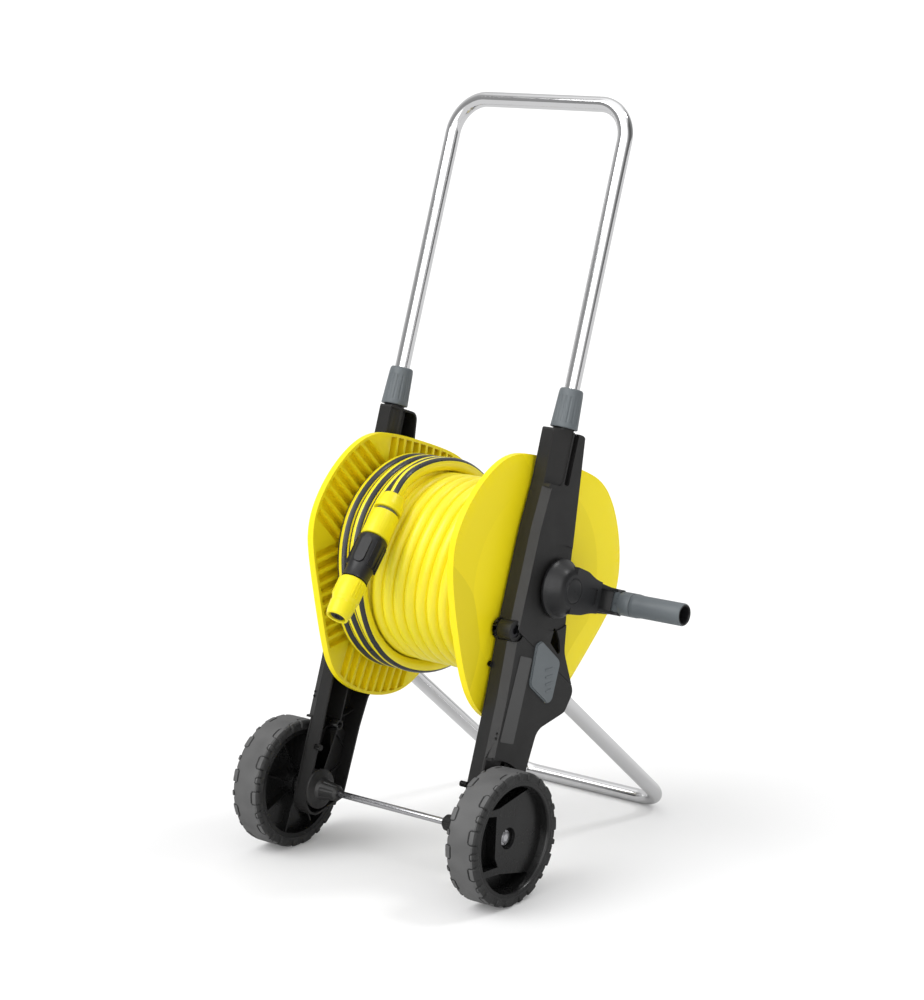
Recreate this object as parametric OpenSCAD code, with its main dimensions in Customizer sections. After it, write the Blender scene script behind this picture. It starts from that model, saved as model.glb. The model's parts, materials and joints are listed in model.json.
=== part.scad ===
// Garden hose reel cart: a leaning two-wheel frame that carries a hand-cranked hose drum.
// Millimetres. +X runs along the axle to the crank side, +Y towards the stand, +Z up.
// The origin lies on the ground, under the middle of the cart's own box (the hose left out).

/* [Frame] */
// Lean of the side panels back from the vertical, degrees
lean = 19.4; // [18.5:0.1:20.5]
// Half the width across the outer faces of the side panels
panel_out = 140.5; // [140:0.1:141]
// Wall thickness of the moulded panels
wall = 2.5; // [2:0.1:3]
// Height of the panel tops above the axle, measured along the lean
panel_top = 464; // [462:1:466]

/* [Wheels] */
// Tyre diameter
wheel_d = 155; // [154:0.5:156]
// Tyre width
wheel_w = 43; // [40:1:44]
// Diameter of the axle rod
axle_d = 8; // [7.8:0.1:8.2]

/* [Tubes] */
// Diameter of the handle tube and of the stand tube
tube_d = 18; // [17.8:0.1:18.2]
// Distance along the lean from the axle to the middle of the handle's top bar
handle_top = 849; // [830:1:860]
// How far the handle slides down into the panels
handle_travel = 240; // [200:5:242]
// Angle between the stand's arms and the ground, degrees
stand_angle = 40; // [39.5:0.1:40.5]
// Distance behind the axle of the stand's foot bar
stand_back = 386; // [384:1:390]

/* [Drum] */
// Largest radius of the flanges
flange_r = 167; // [160:1:168]
// Distance from the drum's axis to a flange's three flats
flange_flat = 145.5; // [142:1:148]
// Width between the flanges
drum_w = 191; // [190:0.5:191]
// Thickness of a flange at its rim
flange_t = 15; // [14:0.5:15]
// Outer radius of the drum's core
core_r = 63.5; // [60:0.5:63.5]

/* [Hose] */
// Outside diameter of the hose
hose_d = 16.5; // [16:0.1:16.5]
// Outer radius of the three full layers
layer_r = 113.25; // [113:0.05:113.4]
// Outer radius of the last few turns
outer_r = 129.75; // [129:0.05:130]

/* [Crank] */
// Distance from the drum's axis to the grip
crank_reach = 84; // [80:1:86]
// Diameter of the grip
grip_d = 26.6; // [25:0.1:27]

/* [Hidden] */
$fn = 64;
slack = 0.3;                        // clearance between pieces that move past each other
run = 0.05;                         // radial clearance of a running fit
wheel_r = wheel_d / 2;
wheel_in = 141.2;                   // inner face of a tyre, from the middle of the cart
wheel_out = wheel_in + wheel_w;
lean_y = 3.6;                       // the lean frame starts just behind the axle
axle_l = -lean_y * cos(lean);       // the axle in the lean frame
axle_s = -lean_y * sin(lean);
axle_r = axle_d / 2;
tube_r = tube_d / 2;
tube_wall = 1.2;
rim_x = 113.5;                      // open inner edge of a side panel
skin_x = panel_out - wall;          // inner face of the outer skin
drum_l = 35;                        // the drum's axis in the lean frame
drum_s = 287;
journal_r = 20;
flange_in = drum_w / 2;
flange_out = flange_in + flange_t;
handle_x = 127.3;                   // middle of a handle leg
handle_bend = 43;
handle_foot = 335;                  // lower end of a handle leg
stand_x = 122;
stand_length = 356;                 // from the top of an arm to the foot bar
hub_face = 164;                     // outer face of the crank's hub
pin_x = 170;                        // hinge pin of the folding grip
grip_end = 263;
ear_s = 15.3;                       // outer face of the fork's ears
ear_t = 3.4;
hub_x = 166;                        // outer end of a wheel's hub
bolt_at = [-24, 228];               // the bolt that holds an upper and a lower panel together
seam = [[-27, 230], [104, 181]];    // line where the two panels meet
seam_gap = 0.5;
bevel_x = 130;                      // the front bevel starts this far out
bevel_l = 5;                        // and ends this far back
step_x = 133.5;                     // the skin steps in to here beside the tyre
tyre_room = 82.5;
tab_x = 119;                        // where a lower panel's bolt tabs end
boss_x = 138;
screw_at = [24, 207];               // the hidden screw between the panels
sleeve_r = 11.5;
stand_screw_z = 40;
guide_r = 12.5;                     // outside of the handle's guide
ring_r = 22;                        // outside of a drum bearing
journal_end = 142;
hub_back = 142.6;
rim_r = 64.7;
hub_r = 15;
pocket_x = 158;                     // floor of the wheel's pockets
axle_end = 168.4;
groove_pitch = 14;
groove_w = 10;
flare_x = 101.5;                    // inner face of a flange at its rim
scoop = 3;                          // depth of the dips in a flange's outer face, at the flats
water_x = 86;                       // the hose's inner end, across the cart
inlet_turn = 60;                    // direction of the branch that feeds the hose
inlet_back = 35;                    // the fixed inlet points down and this far back
nipple_r = 8.6;
outer_x = -45.7;                    // the last turns end here
pin_r = 3;
spindle_r = 8.9;
grip_from = 193;

// The cart's own box, for the origin.
mid_x = (grip_end - wheel_out) / 2;
mid_y = (stand_back + tube_r - wheel_r) / 2;

// The hose end runs round the drum and into its fittings: [x, angle, radius] about the drum's axis,
// angles from the rearward direction of the lean frame, rising over the top to the front.
hose_tail_route = [
    [-53.5, -126, 121.7], [-52.8, -114, 121.8], [-50.5, -102, 122], [-47, -90, 122], [-43, -78, 122],
    [-39.6, -66, 122], [-37.6, -54, 122], [-37, -42, 122], [-37, -28, 122], [-37, -14, 122],
    [-37, 0, 122], [-37, 15, 122], [-37, 30, 122], [-37, 45, 122], [-37, 60, 122],
    [-37, 75, 122], [-36, 90, 122], [-35, 105, 123], [-33, 120, 127], [-31, 134, 133], [-30, 143, 135]
];
nozzle_start = [-29, -118, 64];     // the cap nut's open end, from the middle of the drum
nozzle_end = [-17, -187, -86];      // the nozzle's outlet
nozzle_l = norm(nozzle_end - nozzle_start);

// ---------------------------------------------------------------- outlines

function unit(v) = v / norm(v);

// The arc that rounds corner b of a path a, b, c; b[2] is its radius.
function corner(a, b, c) =
    let(p = [b[0], b[1]], u = unit([a[0], a[1]] - p), w = unit([c[0], c[1]] - p), r = b[2])
    r <= 0 ? [p] :
    let(half = acos(u * w) / 2, reach = r / tan(half), centre = p + unit(u + w) * r / sin(half),
        first = p + u * reach - centre, last = p + w * reach - centre,
        from = atan2(first[1], first[0]), turn = ((atan2(last[1], last[0]) - from + 540) % 360) - 180,
        steps = max(2, ceil(abs(turn) / 12)))
    [for (i = [0:steps]) centre + r * [cos(from + turn * i / steps), sin(from + turn * i / steps)]];

// A closed outline with rounded corners from [across, up, radius] rows, counter-clockwise.
function rounded(v) = let(n = len(v)) [for (i = [0:n - 1]) each corner(v[(i + n - 1) % n], v[i], v[(i + 1) % n])];

// The same outline moved inwards by d; its radii follow.
function inset(v, d) =
    let(n = len(v))
    [for (i = [0:n - 1])
        let(p = [v[i][0], v[i][1]], a = v[(i + n - 1) % n], c = v[(i + 1) % n],
            e0 = unit(p - [a[0], a[1]]), e1 = unit([c[0], c[1]] - p),
            n0 = [-e0[1], e0[0]], n1 = [-e1[1], e1[0]],
            q = p + d * (n0 + n1) / (1 + n0 * n1), convex = e0[0] * e1[1] - e0[1] * e1[0] > 0)
        [q[0], q[1], convex ? max(v[i][2] - d, 0) : v[i][2] + d]];

// Outline of a whole side panel, [backwards, up along the lean, corner radius]; the front edge
// moves back by shift.
function panel_outline(shift) = [
    [-22 + shift, -49 + 0.6 * shift, 20], [45, -8, 6], [48, 80, 150], [53, 123, 20],
    [99, 149, 12], [108, 174, 12], [74, 217, 30], [64, 262, 60],
    [30, panel_top, 11], [-22 + shift, panel_top, 3], [-21 + shift, 402, 60],
    [-26 + shift, 345, 60], [-27 + shift, 240, 120], [-22 + shift, 150, 120]
];

// Outline of a flange: a circle cut by three flats, with soft corners.
function flange_point(a, d) =
    let(b = ((a + 30 + 60) % 120) - 60, flat = (flange_flat - d) / cos(b), r = flange_r - d)
    pow(pow(r, -16) + pow(flat, -16), -1 / 16) * [cos(a), sin(a)];
function flange_outline(d) = [for (a = [0:3:357]) flange_point(a, d)];

// Inner edges of the three pockets in a wheel's outer plate, about the axle: [y, z]; the barrel bounds them outside.
pockets = [
    [[-75, 60], [-51, 41], [-16, 39], [40, 49.5], [75, 56]],
    [[-80, 47], [-54.6, 37.4], [-20.6, 31], [-24, -17], [-18.5, -29], [-50, -27.6], [-80, -26]],
    [[-75, -32], [-45.5, -35.3], [-15, -38], [48, -52.5], [75, -59]],
];

// The lock button's outline on the panel, [backwards, up, radius].
latch_shape = [[18, 171, 9], [67, 151, 9], [68, 206, 9], [15, 228, 9]];

// ---------------------------------------------------------------- placing

// x across, y backwards, z up along the lean, mirrored for the left side.
module lean_side(side = 1) {
    translate([-mid_x, lean_y - mid_y, wheel_r]) rotate([-lean, 0, 0])
        mirror([side < 0 ? 1 : 0, 0, 0]) children();
}

// The axle's line, z outwards from the middle of the cart.
module axle_side(side = 1) {
    translate([-mid_x, -mid_y, wheel_r]) mirror([side < 0 ? 1 : 0, 0, 0]) rotate([0, 90, 0]) children();
}

// The drum's line, z along it.
module drum_side(side = 1) {
    lean_side(side) translate([0, drum_l, drum_s]) rotate([0, 90, 0]) children();
}

// A flat shape, drawn as backwards and up, made solid from x0 to x1.
module across(x0, x1) {
    translate([x0, 0, 0]) rotate([90, 0, 90]) linear_extrude(x1 - x0) children();
}

// The hose fittings' line, z from the cap nut to the outlet.
module nozzle_line() {
    d = nozzle_end - nozzle_start;
    lean_side() translate([0, drum_l, drum_s]) translate(nozzle_start)
        rotate([0, acos(d[2] / nozzle_l), atan2(d[1], d[0])]) children();
}

module ring(r_out, r_in, z0, z1) {
    difference() {
        translate([0, 0, z0]) cylinder(h = z1 - z0, r = r_out);
        translate([0, 0, z0 - 1]) cylinder(h = z1 - z0 + 2, r = r_in);
    }
}

module bar(a, b, t) {
    d = unit(b - a);
    n = [-d[1], d[0]] * t / 2;
    polygon([a - n, b - n, b + n, a + n]);
}

// A U of round tube, its two legs along z from 0, the bar's middle at z = length.
module u_rod(half, length, bend, r, more) {
    for (side = [0, 1]) mirror([side, 0, 0]) {
        translate([half, 0, -more]) cylinder(h = length - bend + more, r = r);
        translate([half - bend, 0, length - bend]) rotate([90, 0, 0])
            rotate_extrude(angle = 90) translate([bend, 0]) circle(r = r);
    }
    translate([bend - half, 0, length]) rotate([0, 90, 0]) cylinder(h = 2 * (half - bend), r = r);
}

module u_tube(half, length, bend) {
    difference() {
        u_rod(half, length, bend, tube_r, 0);
        u_rod(half, length, bend, tube_r - tube_wall, 1);
    }
}

// The stand's own line, z down an arm to the foot.
module stand_line(side = 1) {
    translate([-mid_x, stand_back - mid_y, tube_r]) mirror([side < 0 ? 1 : 0, 0, 0])
        rotate([-90 - stand_angle, 0, 0]) translate([0, 0, -stand_length]) children();
}

// ---------------------------------------------------------------- side panels

// A bevel that starts at x and is depth wide on the outer skin, cut along a path of [backwards, up].
module bevel(path, x, depth) {
    for (i = [0:len(path) - 2]) {
        a = path[i];
        d = path[i + 1] - a;
        turn = atan2(d[0], d[1]);
        translate([x, a[0], a[1]]) rotate([-turn, 0, 0]) translate([0, 0, -1])
            linear_extrude(norm(d) + 2)
                polygon([[0, 0], [12, 12 * depth / (panel_out - x)], [12, -30 * sign(depth)], [0, -30 * sign(depth)]]);
    }
}

// A stiffening rib between two points, from x to the outer skin.
module rib(a, b, x) { across(x, skin_x + 0.5) bar(a, b, 2); }

// A round boss with its axis along x.
module boss(at, r, x0, x1) { translate([x0, at[0], at[1]]) rotate([0, 90, 0]) cylinder(h = x1 - x0, r = r); }

// The moulded channel, open towards the drum.
module panel_channel() {
    difference() {
        across(rim_x, panel_out) polygon(rounded(panel_outline(0)));
        bevel([[-22, -70], [-22, 150], [-27, 240], [-26, 345], [-21, 402], [-22, 470]], bevel_x, bevel_l);
        bevel([[64, 262], [30, 470]], 136, -4);
        across(rim_x - 1, 127.5) polygon(rounded(inset(panel_outline(0), wall)));
        across(127, skin_x) polygon(rounded(inset(panel_outline(bevel_l), wall)));
    }
}

// The upper or the lower part of the plane, on either side of the seam.
module beyond_seam(up) {
    d = unit(seam[1] - seam[0]);
    n = [-d[1], d[0]] * seam_gap / 2 * (up ? 1 : -1);
    far = [-d[1], d[0]] * (up ? 500 : -500);
    a = seam[0] + n - d * 300;
    b = seam[1] + n + d * 300;
    across(50, 200) polygon(up ? [a, b, b + far, a + far] : [b, a, a + far, b + far]);
}

module latch_hole() { across(skin_x - 5, panel_out + 1) polygon(rounded(inset(latch_shape, -slack - 0.1))); }

module lower_panel(side) {
    color([0.09, 0.09, 0.1]) {
        difference() {
            union() {
                lean_side(side) {
                    intersection() { panel_channel(); beyond_seam(false); }
                    intersection() {
                        across(rim_x, panel_out) polygon(rounded(panel_outline(0)));
                        union() {
                            boss([axle_l, axle_s], tyre_room + wall, step_x - wall, panel_out);
                            rib([11, 82], [12.5, 198], rim_x + 1);
                            rib([12, 192], [24, 199], rim_x + 1);
                            rib([9, 72], [0, 20], rim_x + 1);
                            rib([-20, 110], [6, 124], 137.3);
                            rib([-20, 106], [6, 82], 137.3);
                            rib([15, 79], [56, 102], 128);
                            rib([15, 74], [54, 46], 128);
                            rib([6, 73], [-20, 50], 128);
                            rib([28, 16], [54, 38], 128);
                            rib([-20, 50], [-14, 20], 122);
                            boss([10, 77], 6, rim_x, skin_x + 0.5);
                        }
                    }
                    intersection() {
                        beyond_seam(false);
                        union() {
                            boss(screw_at - [0, 8], 9, rim_x, tab_x);
                            across(rim_x, tab_x) bar(bolt_at + [2, -2], bolt_at + [10, -26], 9);
                        }
                    }
                    for (p = [bolt_at, screw_at]) boss(p, p == bolt_at ? 12.5 : 6, rim_x, tab_x);
                    boss([axle_l, axle_s], 12, rim_x + 0.5, wheel_in + 1.8);
                    // two pegs on the front edge
                    boss([-23.4, 47], 3.4, rim_x - 7, rim_x + 2);
                    boss([-25, 186], 3.4, rim_x - 2, rim_x + 2);
                }
                // the sleeve that holds the stand's arm
                difference() {
                    stand_line(side) translate([stand_x, 0, -4]) cylinder(h = 64, r = sleeve_r);
                    lean_side(side) translate([50, -100, 0]) cube([flange_out + 1.3 - 50, 300, 400]);
                }
            }
            lean_side(side) {
                difference() {
                    boss([axle_l, axle_s], tyre_room, step_x, panel_out + 1);
                    boss([axle_l, axle_s], 12, step_x - 1, panel_out + 9);
                }
                boss([axle_l, axle_s], axle_r + run, 50, 200);
                boss([10, 77], 4, rim_x - 1, skin_x);
                for (p = [bolt_at, screw_at]) boss(p, p == bolt_at ? 3.1 : 2.6, rim_x - 1, tab_x + 1);
                boss(bolt_at, 12.4, tab_x, panel_out + 1);
                latch_hole();
            }
            stand_line(side) translate([stand_x, 0, 0]) {
                cylinder(h = 70, r = tube_r + run);
                translate([0, 0, stand_screw_z]) rotate([0, 90, 0]) cylinder(h = 14, r = 2.3);
            }
        }
    }
}

module upper_panel(side) {
    color([0.1, 0.1, 0.11]) lean_side(side) difference() {
        union() {
            intersection() { panel_channel(); beyond_seam(true); }
            intersection() {
                across(rim_x, panel_out) polygon(rounded(panel_outline(0)));
                union() {
                    rib([13, 214], [22, 268], rim_x + 1);
                    rib([20, 308], [14, 384], rim_x + 1);
                    rib([-20, 300], [14, 345], 137.3);
                    rib([12, 300], [-20, 345], 137.3);
                    rib([55, 268], [63, 252], 124);
                    rib([52, 302], [46, 345], 124);
                    // block at the top that carries the handle's guide
                    across(121, panel_out) polygon([[-22, 396], [16, 396], [16, 470], [-22, 470]]);
                }
            }
            boss([drum_l, drum_s], 27, rim_x - 1.5, skin_x + 0.5);
            boss(bolt_at, 12, tab_x + slack, boss_x);
            boss(screw_at, 6, tab_x + slack, 133);
            across(tab_x + slack, 133) bar(bolt_at + [4, 8], bolt_at + [10, 24], 9);
            across(tab_x + slack, skin_x + 0.5) bar(screw_at + [1, 5], screw_at + [3, 22], 4);
            translate([handle_x, 0, 384]) cylinder(h = panel_top - 384, r = guide_r);
            translate([handle_x, 0, panel_top - 1]) cylinder(h = 12, r = 12.3);
            translate([handle_x, 0, 236]) cylinder(h = 8, r = 12);
        }
        // the sloping face in front of the handle's guide, and the slot behind its lip
        intersection() {
            translate([0, 0, 400]) linear_extrude(80)
                polygon([[bevel_x, -23], [139.2, 3], [panel_out + 1, 3], [panel_out + 1, -40], [bevel_x, -40]]);
            across(100, 200) polygon(rounded([[-45, 400, 0], [3, 400, 7], [3, 490, 0], [-45, 490, 0]]));
        }
        across(122, panel_out + 1) polygon(rounded([[5.5, 403, 3], [14.5, 403, 3], [14.5, 480, 0], [5.5, 480, 0]]));
        translate([handle_x, 0, 200]) cylinder(h = 300, r = tube_r + slack);
        boss([drum_l, drum_s], ring_r, 50, 200);
        boss(bolt_at, 7.4, boss_x - 9, boss_x + 1);
        // the dark pocket behind the lock button
        across(126, panel_out + 1) polygon(rounded([[43, 224, 1], [62, 213, 1], [66, 216, 2], [60, 229, 4], [46, 244, 2]]));
        for (p = [bolt_at, screw_at]) boss(p, p == bolt_at ? 3.1 : 1.9, rim_x - 1, p == bolt_at ? 200 : 131);
        latch_hole();
        for (p = [bolt_at, screw_at]) boss(p, (p == bolt_at ? 12.5 : 6) + slack, rim_x - 1, tab_x + slack);
        // a shallow round recess about the crank
        boss([drum_l, drum_s], 50, panel_out - 1.3, panel_out + 1);
    }
}

// One bolt with a socket head in the front boss and one screw inside, on each side.
module panel_bolts() {
    color([0.2, 0.2, 0.21]) for (side = [-1, 1]) lean_side(side) {
        difference() {
            union() {
                boss(bolt_at, 3, rim_x + 0.5, boss_x - 3);
                boss(bolt_at, 7.1, boss_x - 9, boss_x - 1.2);
            }
            translate([boss_x - 5, bolt_at[0], bolt_at[1]]) rotate([0, 90, 0]) cylinder(h = 5, r = 4.2, $fn = 6);
        }
        boss(screw_at, 1.8, rim_x - 2, 130);
        boss(screw_at, 4, rim_x - 3, rim_x - 0.1);
    }
}

module label_plate() {
    color([0.16, 0.16, 0.17]) lean_side()
        across(panel_out, panel_out + 0.6)
            polygon(rounded([[-14, 102, 2], [12, 102, 2], [13.5, 202, 2], [-9, 202, 2]]));
}

// ---------------------------------------------------------------- axle and wheels

module axle() { color([0.8, 0.8, 0.82]) axle_side() translate([0, 0, -axle_end]) cylinder(h = 2 * axle_end, r = axle_r); }

// A dished spacer with a fluted nose, inside each leg.
module axle_bush(side) {
    color([0.16, 0.16, 0.16]) axle_side(side) difference() {
        rotate_extrude() polygon([[2, 80.6], [6.5, 80.6], [9.5, 84], [12, 104], [14, 107.5], [24, 110.6],
                                  [24, rim_x], [2, rim_x]]);
        for (a = [0:45:315]) rotate([0, 0, a + 22.5]) translate([11, 0, 79]) rotate([0, 6, 0])
            cylinder(h = 24, r = 2.6);
        translate([0, 0, 50]) cylinder(h = 100, r = axle_r + run / 2);
    }
}

module axle_clip(side) {
    color([0.25, 0.25, 0.26]) axle_side(side) difference() {
        union() {
            ring(9, axle_r, hub_x + 0.4, hub_x + 1.2);
            ring(5.6, axle_r, hub_x + 0.4, hub_x + 2);
        }
        for (a = [0:60:300]) rotate([0, 0, a]) translate([7.6, 0, hub_x]) cylinder(h = 3, r = 0.9);
    }
}

// A plate's region beyond one of the pocket sides, in the wheel's own plane.
// The wheel's plane: first axis backwards, second axis up.
module wheel_plane(z0, z1) { translate([0, 0, z0]) rotate([0, 0, 90]) linear_extrude(z1 - z0) children(); }

module wheel_rim(side) {
    plate_x = 172;
    color([0.11, 0.11, 0.12]) axle_side(side) difference() {
        union() {
            // barrel with a lip at each edge
            rotate_extrude() polygon([
                [rim_r - 4, wheel_in + 2], [rim_r + 1.6, wheel_in + 2], [rim_r + 1.6, wheel_in + 4],
                [rim_r, wheel_in + 4], [rim_r, wheel_out - 4], [rim_r + 1.6, wheel_out - 4],
                [rim_r + 1.6, wheel_out - 1.5], [rim_r - 2.5, wheel_out - 1.5], [rim_r - 4, wheel_out - 4]]);
            // outer plate, the pockets' floors and their walls
            wheel_plane(plate_x - wall, plate_x) circle(r = rim_r - 2);
            wheel_plane(pocket_x - wall, pocket_x) circle(r = rim_r - 2);
            wheel_plane(pocket_x - 1, plate_x) intersection() {
                circle(r = rim_r - 2);
                for (p = pockets, i = [0:len(p) - 2]) let(edge = p[i + 1] - p[i])
                    translate(p[i]) rotate(atan2(edge[1], edge[0])) translate([-wall, -wall])
                        square([norm(edge) + 2 * wall, 2 * wall]);
            }
            ring(hub_r, axle_r, wheel_in + 2, plate_x);
            for (a = [22.5:45:359]) rotate([0, 0, a]) translate([hub_r - 2, -1, wheel_in + 6])
                cube([rim_r - hub_r - 1, 2, pocket_x - wheel_in - 7]);
        }
        // pockets
        for (p = pockets) wheel_plane(pocket_x, plate_x + 1) intersection() {
            circle(r = rim_r - 4);
            polygon(concat(p, [2 * p[len(p) - 1], 2 * p[0]]));
        }
        translate([0, 0, hub_x]) cylinder(h = 20, r = 12.5);
        translate([0, 0, 100]) cylinder(h = 100, r = axle_r + run);
    }
}

// A flat sector of half-angle h about the first axis.

module tyre(side) {
    color([0.25, 0.25, 0.26]) axle_side(side) rotate_extrude() polygon([
        [rim_r, wheel_in + 4], [rim_r + 1.6, wheel_in + 4], [rim_r + 1.6, wheel_in + 0.5],
        [rim_r + 6, wheel_in], [wheel_r - 3, wheel_in + 1.2], [wheel_r - 0.8, wheel_in + 5],
        [wheel_r, wheel_in + 12], [wheel_r, wheel_out - 12], [wheel_r - 0.8, wheel_out - 5],
        [wheel_r - 3, wheel_out - 1.2], [rim_r + 6, wheel_out], [rim_r + 1.6, wheel_out - 0.5],
        [rim_r + 1.6, wheel_out - 4], [rim_r, wheel_out - 4]]);
}

// ---------------------------------------------------------------- stand and its locks

module stand_tube() {
    color([0.84, 0.85, 0.87]) difference() {
        stand_line() u_tube(stand_x, stand_length, 42);
        for (side = [-1, 1]) stand_line(side) translate([stand_x, 0, stand_screw_z]) rotate([0, 90, 0])
            cylinder(h = 20, r = 2.3);
    }
}

module stand_screws() {
    color([0.5, 0.5, 0.52]) for (side = [-1, 1]) stand_line(side)
        translate([stand_x, 0, stand_screw_z]) rotate([0, 90, 0]) {
            translate([0, 0, 6]) cylinder(h = 6.5, r = 2.2);
            translate([0, 0, sleeve_r]) cylinder(h = 2.2, r = 4);
        }
}

// The grey push button over each arm's sleeve.
module stand_latch(side) {
    color([0.36, 0.38, 0.4]) lean_side(side) {
        across(skin_x - 1.5, panel_out + 1.2) polygon(rounded(latch_shape));
        across(panel_out + 1, panel_out + 2.6) polygon(rounded(inset(latch_shape, 1.4)));
        for (i = [0:3]) across(panel_out + 2.4, panel_out + 3.4)
            bar([50 - 3 * i, 182 + 8 * i - 14], [60 - 2 * i, 186 + 8 * i - 14], 2);
    }
}

// ---------------------------------------------------------------- handle

module handle_tube() {
    color([0.84, 0.85, 0.87]) lean_side() translate([0, 0, handle_foot])
        u_tube(handle_x, handle_top - handle_foot, handle_bend);
}

module handle_plugs() {
    color([0.3, 0.31, 0.32]) for (side = [-1, 1]) lean_side(side) translate([handle_x, 0, handle_foot]) {
        translate([0, 0, -3]) cylinder(h = 3, r = tube_r);
        cylinder(h = 12, r = tube_r - tube_wall);
    }
}

module clamp_collar(side) {
    color([0.45, 0.48, 0.5]) lean_side(side) translate([handle_x, 0, 0]) difference() {
        rotate_extrude() polygon([[tube_r + slack, 497], [tube_r + slack, 512.5], [12.4, 512.5], [13.6, 511],
            [14.2, 507], [15.7, 475], [16.1, 467.5], [15.6, 466.8], [12.9, 466.8], [12.9, 497]]);
        for (a = [0:24:359]) rotate([0, 0, a]) translate([17.9, 0, 473]) rotate([0, -2.6, 0])
            cylinder(h = 30, r = 2.6);
    }
}

// The split ring that the collar squeezes onto the tube.
module collet(side) {
    color([0.2, 0.2, 0.21]) lean_side(side) translate([handle_x, 0, 0]) difference() {
        ring(12, tube_r + 0.15, 475, 493);
        for (a = [0:90:270]) rotate([0, 0, a]) translate([0, -1, 478]) cube([20, 2, 20]);
    }
}

// ---------------------------------------------------------------- drum

module bearing_ring(side) {
    color([0.35, 0.37, 0.39]) drum_side(side) ring(ring_r - 0.02, journal_r, rim_x - 1.5, panel_out + 0.6);
}

// Grooves of one of the six sectors, in the flange's plane, the sector's middle along the first axis.
module grooves() {
    for (j = [-4:4]) translate([core_r + 14, j * groove_pitch - groove_w / 2]) square([120, groove_w]);
}

module flange(side) {
    color([0.95, 0.84, 0.1]) difference() {
        union() {
            lean_side(side) difference() {
                across(flange_in, flange_out) translate([drum_l, drum_s]) polygon(flange_outline(0));
                across(flange_in - 1, flange_out - scoop - 1.5) translate([drum_l, drum_s]) intersection() {
                    for (k = [0:5]) rotate(30 + 60 * k) grooves();
                    polygon(flange_outline(4));
                }
                boss([drum_l, drum_s], 54, flange_in - 1, flange_out - 3);
                // the outer face dips towards each flat, behind a wide arc
                for (a = [90:120:330])
                    translate([flange_out - scoop, drum_l + 408 * cos(a), drum_s + 408 * sin(a)])
                        rotate([0, 90, 0]) cylinder(h = scoop + 1, r1 = 296 - 11 * scoop, r2 = 307);
            }
            drum_side(side) {
                translate([0, 0, flange_out - 4]) cylinder(h = journal_end - flange_out + 4, r = journal_r - run);
                translate([0, 0, flange_in + 1]) cylinder(h = 12, r = 27);
                for (a = [0:120:240]) rotate([0, 0, a]) translate([47, 0, flange_in]) cylinder(h = 13, r = 6.5);
            }
        }
        drum_side(side) {
            // the inner face opens out towards the rim
            rotate_extrude() polygon([[118, flange_in - 1], [118, flange_in], [172, flare_x], [172, flange_in - 1]]);
            // the outer face falls away from the same circle
            rotate_extrude() polygon([[118, flange_out], [172, flange_out - 2], [172, flange_out + 1],
                [118, flange_out + 1]]);
            translate([0, 0, 60]) cylinder(h = (side < 0 ? 100 : journal_end - 68), r = 15);
            translate([0, 0, 60]) cylinder(h = 100, r = 2.5);
            for (a = [0:120:240]) rotate([0, 0, a]) translate([47, 0, 60]) cylinder(h = 100, r = 2.6);
        }
    }
}

module drum_core() {
    color([0.9, 0.78, 0.1]) drum_side() difference() {
        union() {
            ring(core_r, core_r - 2.5, -flange_in, flange_in);
            for (a = [0:120:240]) rotate([0, 0, a]) translate([47, 0, -flange_in]) cylinder(h = drum_w, r = 6);
            for (a = [0:120:240]) rotate([0, 0, a]) translate([48, -1.5, -flange_in]) cube([14, 3, drum_w]);
        }
        for (a = [0:120:240], z = [-flange_in - 1, flange_in - 24]) rotate([0, 0, a])
            translate([47, 0, z]) cylinder(h = 25, r = 2.2);
        rotate([0, 0, inlet_turn]) translate([0, 0, water_x]) rotate([0, 90, 0])
            cylinder(h = 80, r = 9);
    }
}

module drum_screws() {
    color([0.6, 0.6, 0.62]) for (side = [-1, 1]) drum_side(side) for (a = [0:120:240]) rotate([0, 0, a])
        translate([47, 0, flange_in]) {
            translate([0, 0, -20]) cylinder(h = 36, r = 2.1);
            translate([0, 0, flange_t + 0.1]) cylinder(h = 1.6, r = 4.4);
        }
}

// The pipe that turns with the drum and feeds the hose's inner end.
module water_elbow() {
    color([0.3, 0.3, 0.32]) drum_side() difference() {
        union() {
            translate([0, 0, -116]) cylinder(h = 116 + water_x + 7, r = 8.5);
            translate([0, 0, -flange_out + 3]) cylinder(h = 6, r = 14.8);
            rotate([0, 0, inlet_turn]) translate([0, 0, water_x]) rotate([0, 90, 0]) cylinder(h = 60.6, r = 8);
        }
        translate([0, 0, -117]) cylinder(h = 119 + water_x, r = 6);
        rotate([0, 0, inlet_turn]) translate([0, 0, water_x]) rotate([0, 90, 0]) cylinder(h = 70, r = 5.4);
    }
}

// The O-ring between the fixed inlet and the turning journal.
module water_seal() {
    color([0.08, 0.08, 0.08]) drum_side(-1) translate([0, 0, 126]) rotate_extrude() translate([11.9, 0]) circle(r = 2.85);
}

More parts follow.
